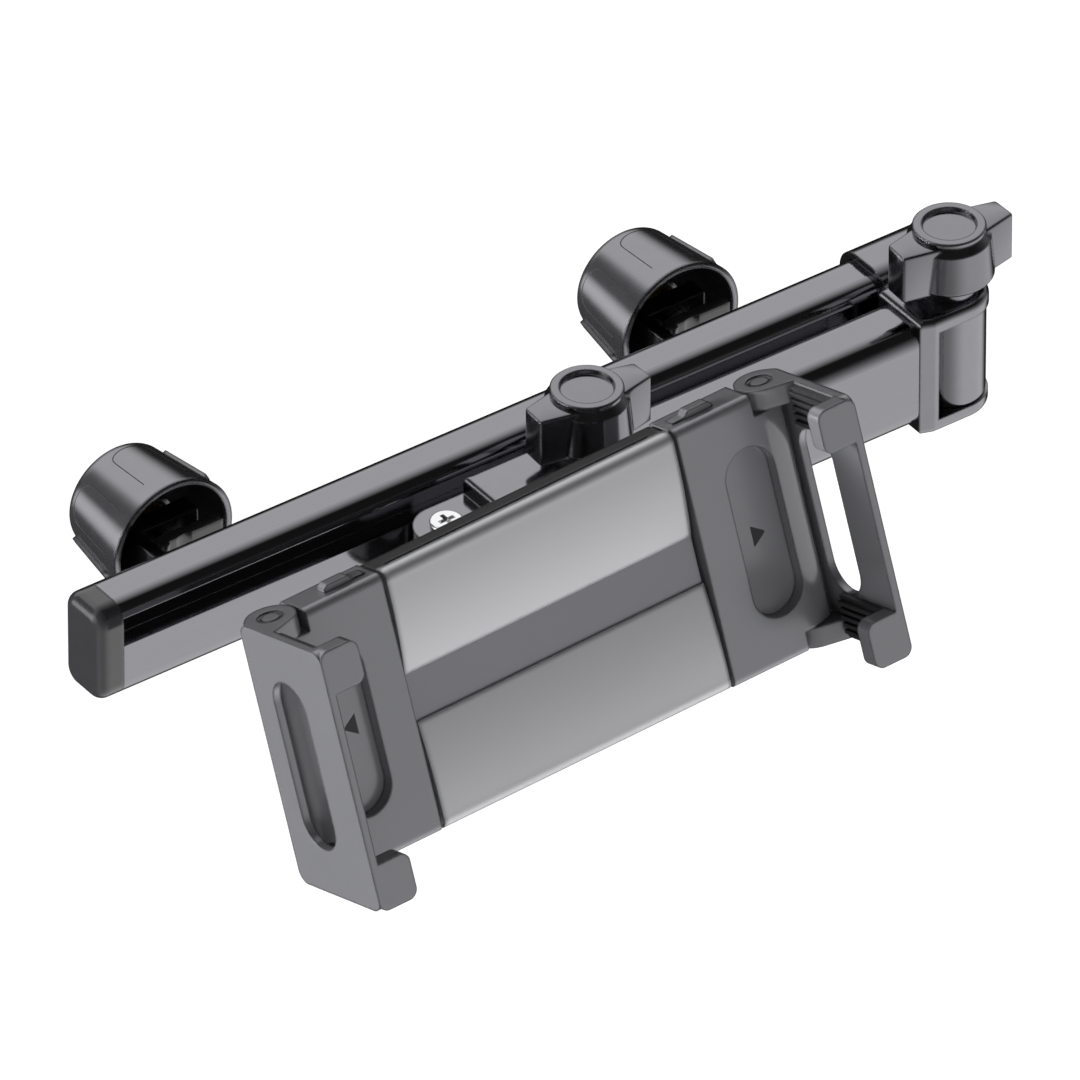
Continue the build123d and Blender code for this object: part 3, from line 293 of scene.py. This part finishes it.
def outline_route(post_x, first, last):
    """Places in mm along one outline: up the wall at one angle, across, and down at the other."""
    middle, half = (first + last) / 2, (last - first) / 2
    foot = SIDE_TOP - SIDE_LENGTH
    steps = [(first, foot + SIDE_LENGTH * i / SIDE_STEPS) for i in range(SIDE_STEPS)]
    for i in range(ARCH_STEPS + 1):
        bend = math.pi * i / ARCH_STEPS
        steps.append((middle - half * math.cos(bend), SIDE_TOP + ARCH_RISE * math.sin(bend) ** 0.6))
    steps += [(last, SIDE_TOP - SIDE_LENGTH * i / SIDE_STEPS) for i in range(1, SIDE_STEPS + 1)]
    route = []
    for angle, behind in steps:
        out = RIM_R - (RIM_R - BACK_R) * behind / (BACK_Y - RIM_Y) - LINE_SINK
        route.append((post_x + out * math.cos(math.radians(angle)), RIM_Y + behind,
                      out * math.sin(math.radians(angle))))
    return route


for side, post_x in POSTS:
    outline = bpy.data.curves.new("outline", "CURVE")
    outline.dimensions = "3D"
    for first, last in OUTLINE_ANGLES:
        route = outline_route(post_x, first, last)
        spline = outline.splines.new("POLY")
        spline.points.add(len(route) - 1)
        for point, place in zip(spline.points, route):
            point.co = (*[c * MM for c in place], 1.0)
    lines = new_object("outline", outline)
    apply_tree(lines, line_tree, Width=LINE_R * MM)
    ride_as_mesh(side + "_knob_groove_shade", lines, side + "_knob")

# Arrows printed on the floors of the finger recesses, pointing the way each wing slides. Their
# places are in mm across and up the holder's face, which leans back and rolls a little
TILT, ROLL = math.radians(18.0), math.radians(2.5)
face_normal = Vector((0.0, -math.cos(TILT), math.sin(TILT)))
face_right = Vector((math.cos(ROLL), math.sin(ROLL) * math.sin(TILT), math.sin(ROLL) * math.cos(TILT)))
face_up = face_normal.cross(face_right)
face_centre = Vector((43.4, -56.3, 2.0)) + face_normal * 22.0
RECESS_FLOOR, INK = -3.0, 0.06
BASE_BACK, POINT_OUT = 1.6, 1.7
BASE_HALF, POINT_HALF = 2.55, 0.25
for side, way, out, up in (("left", -1, 55.4, 0.0), ("right", 1, 56.9, -1.2)):
    corners = [(out - BASE_BACK, up - BASE_HALF), (out + POINT_OUT, up - POINT_HALF),
               (out + POINT_OUT, up + POINT_HALF), (out - BASE_BACK, up + BASE_HALF)]
    low = [face_centre + face_right * u * way + face_up * v + face_normal * RECESS_FLOOR for u, v in corners]
    high = [c + face_normal * INK for c in low]
    count = len(corners)
    faces = [tuple(range(count))[::-1], tuple(range(count, 2 * count))]
    faces += [(i, (i + 1) % count, count + (i + 1) % count, count + i) for i in range(count)]
    if way < 0:
        faces = [f[::-1] for f in faces]
    print_mesh = bpy.data.meshes.new(side + "_arrow")
    print_mesh.from_pydata([c * MM for c in low + high], [], faces)
    print_mesh.materials.append(arrow_ink)
    arrow = new_object(side + "_arrow", print_mesh)
    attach(arrow, side + "_wing_body")

# Wing knobs: a tapered skirt, a short cone, a flat ring round a dish, and two wings that taper
# outwards. The profile gives radius and height in mm from the bore upwards, each wing its corners
# in mm from the knob's axis
KNOB_PROFILE = [(0, 7.1), (4.7, 7.1), (4.7, 0), (9.8, 0), (10.4, 0.7), (9.6, 10.2), (7.9, 12.1),
                (8.4, 12.3), (8.4, 13.1), (8.1, 13.4), (6.3, 13.4), (6.0, 12.4), (0, 12.4)]
LEFT_WING = [(-5.5, 5.3), (-5.5, -5.9), (-15.4, -3.7), (-15.0, 3.0)]
RIGHT_WING = [(5.5, 5.3), (5.5, -5.9), (15.2, -3.8), (15.0, 2.7)]
WING_HEIGHTS = (0.1, 12.1)
WING_ROUND, WING_ROUND_FROM = 0.8, 1.0
HINGE_Y = -34.3
TURN_STEPS = 96
SHARP_FROM = math.radians(20)


def turned_shell(knob, axis):
    """The knob's round body, turned from its profile."""
    rings = []
    for radius, height in KNOB_PROFILE:
        count = TURN_STEPS if radius else 1
        angles = [math.tau * i / TURN_STEPS for i in range(count)]
        rings.append([knob.verts.new(axis + Vector((radius * math.cos(a), radius * math.sin(a), height)) * MM)
                      for a in angles])
    for below, above in zip(rings, rings[1:]):
        for i in range(TURN_STEPS):
            j = (i + 1) % TURN_STEPS
            corners = [below[i % len(below)], below[j % len(below)],
                       above[j % len(above)], above[i % len(above)]]
            knob.faces.new(list(dict.fromkeys(corners)))


def rounded_wing(knob, axis, wing):
    """One wing as a block with rounded edges, its foot left square."""
    corners = [knob.verts.new(axis + Vector((*place, height)) * MM) for place in wing
               for height in WING_HEIGHTS]
    hull = bmesh.ops.convex_hull(knob, input=corners)["geom"]
    bmesh.ops.dissolve_limit(knob, angle_limit=math.radians(1.0), verts=corners,
                             edges=[e for e in hull if isinstance(e, bmesh.types.BMEdge)])
    raised = {e for c in corners if c.is_valid for e in c.link_edges
              if max(v.co.z for v in e.verts) > axis.z + WING_ROUND_FROM * MM}
    bmesh.ops.bevel(knob, geom=list(raised), offset=WING_ROUND * MM, segments=3, profile=0.5,
                    affect="EDGES")


for label, axis_x in (("arm", 182.2), ("link", 81.9)):
    plain_knob = nodes[label + "_wing_knob"]
    foot = min((plain_knob.matrix_world @ corner.co).z for corner in plain_knob.data.vertices)
    axis = Vector((axis_x * MM, HINGE_Y * MM, foot))
    knob = bmesh.new()
    turned_shell(knob, axis)
    for wing in (LEFT_WING, RIGHT_WING):
        rounded_wing(knob, axis, wing)
    bmesh.ops.recalc_face_normals(knob, faces=knob.faces)
    knob_mesh = bpy.data.meshes.new(label + "_knob_with_wings")
    knob.to_mesh(knob_mesh)
    knob.free()
    knob_mesh.materials.append(metallised_abs)
    knob_mesh.shade_smooth()
    knob_mesh.set_sharp_from_angle(angle=SHARP_FROM)
    dressed = new_object(label + "_knob_with_wings", knob_mesh)
    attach(dressed, label + "_knob")
    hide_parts(label + "_wing_knob")

# Camera: a long lens far away, as the photograph shows no perspective
TARGET = Vector((64.9, -40.0, 2.3)) * MM
AZIMUTH = math.radians(-35.75)
ELEVATION = math.radians(36.7)
VIEW_WIDTH = 241.07 * MM
LENS = 1000.0
SENSOR = 36.0
towards = Vector((math.sin(AZIMUTH) * math.cos(ELEVATION), -math.cos(AZIMUTH) * math.cos(ELEVATION),
                  math.sin(ELEVATION)))
camera = new_object("camera", bpy.data.cameras.new("camera"))
camera.data.lens = LENS
camera.data.sensor_width = SENSOR
camera.data.clip_end = 100.0
camera.location = TARGET + towards * (VIEW_WIDTH * LENS / SENSOR)
camera.rotation_euler = towards.to_track_quat("Z", "Y").to_euler()
bpy.context.scene.camera = camera

# Floor: white to the eye, with the object's soft shadow
FLOOR_DROP = 60 * MM
FLOOR_REACH = 6.0
WHITE = (1, 1, 1, 1)
floor_z = cad_box[0][2] - FLOOR_DROP
floor_mesh = bpy.data.meshes.new("floor")
floor_mesh.from_pydata([(x * FLOOR_REACH, y * FLOOR_REACH, floor_z)
                        for x, y in ((-1, -1), (1, -1), (1, 1), (-1, 1))], [], [(0, 1, 2, 3)])
floor = new_object("floor", floor_mesh)
floor_paint, tree = new_material("white_floor_paint")
paint = add(tree, "ShaderNodeBsdfDiffuse", {"Color": linear("#BCBCBC")})
glow = add(tree, "ShaderNodeEmission", {"Color": WHITE, "Strength": 0.92})
shadowed = add(tree, "ShaderNodeAddShader", {0: paint.outputs["BSDF"], 1: glow.outputs["Emission"]})
seen = add(tree, "ShaderNodeLightPath")
clear = add(tree, "ShaderNodeBsdfTransparent")
floor_skin = add(tree, "ShaderNodeMixShader", {"Fac": seen.outputs["Is Glossy Ray"],
                                               1: shadowed.outputs["Shader"], 2: clear.outputs["BSDF"]})
add(tree, "ShaderNodeOutputMaterial", {"Surface": floor_skin.outputs["Shader"]})
floor_mesh.materials.append(floor_paint)

# Soft studio light: a white room for the eye; for gloss, a room with a bright ceiling behind the
# object, a floor that brightens towards the front and dark walls between; for satin and matt
# surfaces, a dim room with a window at the left rear and a screen in front
world = bpy.data.worlds.new("studio")
bpy.context.scene.world = world
world.use_nodes = True
tree = world.node_tree
tree.nodes.clear()
direction = add(tree, "ShaderNodeTexCoord").outputs["Generated"]
axes = add(tree, "ShaderNodeSeparateXYZ", {"Vector": direction})


def card(aim, edge, full, around, bright):
    """A round card of the room that hangs in the direction of aim, as a strength of light."""
    facing = add(tree, "ShaderNodeVectorMath", {0: direction, 1: aim}, operation="DOT_PRODUCT")
    shape = add(tree, "ShaderNodeMapRange", {"Value": facing.outputs["Value"], "From Min": edge,
                                             "From Max": full, "To Min": around, "To Max": bright},
                interpolation_type="SMOOTHSTEP")
    return shape.outputs["Result"]


back = add(tree, "ShaderNodeMapRange", {"Value": axes.outputs["Y"], "From Min": -0.12, "From Max": 0.62,
                                        "To Max": 1.05})
high = add(tree, "ShaderNodeMapRange", {"Value": axes.outputs["Z"], "From Min": 0.08, "From Max": 0.42},
           interpolation_type="SMOOTHSTEP")
whole_ceiling = add(tree, "ShaderNodeMath", {0: back.outputs["Result"], 1: high.outputs["Result"]},
                    operation="MULTIPLY")
dark_card = card((-0.598, 0.651, 0.468), 0.90, 0.975, 1.0, 0.05)
ceiling = add(tree, "ShaderNodeMath", {0: whole_ceiling.outputs["Value"], 1: dark_card},
              operation="MULTIPLY")
low = add(tree, "ShaderNodeMapRange", {"Value": axes.outputs["Z"], "From Min": 0.55, "From Max": -0.62})
low_bright = add(tree, "ShaderNodeMath", {0: low.outputs["Result"], 1: 1.5}, operation="POWER")
front = add(tree, "ShaderNodeMapRange", {"Value": axes.outputs["Y"], "From Min": 0.30, "From Max": -0.15,
                                         "To Max": 1.08}, interpolation_type="SMOOTHSTEP")
right = add(tree, "ShaderNodeMapRange", {"Value": axes.outputs["X"], "From Min": -0.6, "From Max": 0.25,
                                         "To Min": 0.35}, interpolation_type="SMOOTHSTEP")
wide_floor = add(tree, "ShaderNodeMath", {0: low_bright.outputs["Value"], 1: front.outputs["Result"]},
                 operation="MULTIPLY")
front_floor = add(tree, "ShaderNodeMath", {0: wide_floor.outputs["Value"], 1: right.outputs["Result"]},
                  operation="MULTIPLY")
left_card = card((-0.741, 0.651, -0.16), 0.93, 0.985, 0.02, 1.3)
two_lights = add(tree, "ShaderNodeMath", {0: ceiling.outputs["Value"], 1: front_floor.outputs["Value"]},
                 operation="ADD")
gloss_light = add(tree, "ShaderNodeMath", {0: two_lights.outputs["Value"], 1: left_card}, operation="ADD")
window = card((-0.93, 0.33, -0.15), 0.90, 0.99, 0.06, 72.0)
screen = card((0.0, -0.95, 0.31), 0.80, 0.97, 0.0, 2.2)
matt_light = add(tree, "ShaderNodeMath", {0: window, 1: screen}, operation="ADD")
gloss_room = add(tree, "ShaderNodeBackground", {"Color": WHITE, "Strength": gloss_light.outputs["Value"]})
matt_room = add(tree, "ShaderNodeBackground", {"Color": WHITE, "Strength": matt_light.outputs["Value"]})
white_room = add(tree, "ShaderNodeBackground", {"Color": WHITE, "Strength": 1.0})
seen = add(tree, "ShaderNodeLightPath")
inside = add(tree, "ShaderNodeMixShader", {"Fac": seen.outputs["Is Glossy Ray"],
                                           1: matt_room.outputs["Background"],
                                           2: gloss_room.outputs["Background"]})
everything = add(tree, "ShaderNodeMixShader", {"Fac": seen.outputs["Is Camera Ray"],
                                               1: inside.outputs["Shader"],
                                               2: white_room.outputs["Background"]})
add(tree, "ShaderNodeOutputWorld", {"Surface": everything.outputs["Shader"]})

bpy.context.scene.view_settings.view_transform = "Standard"
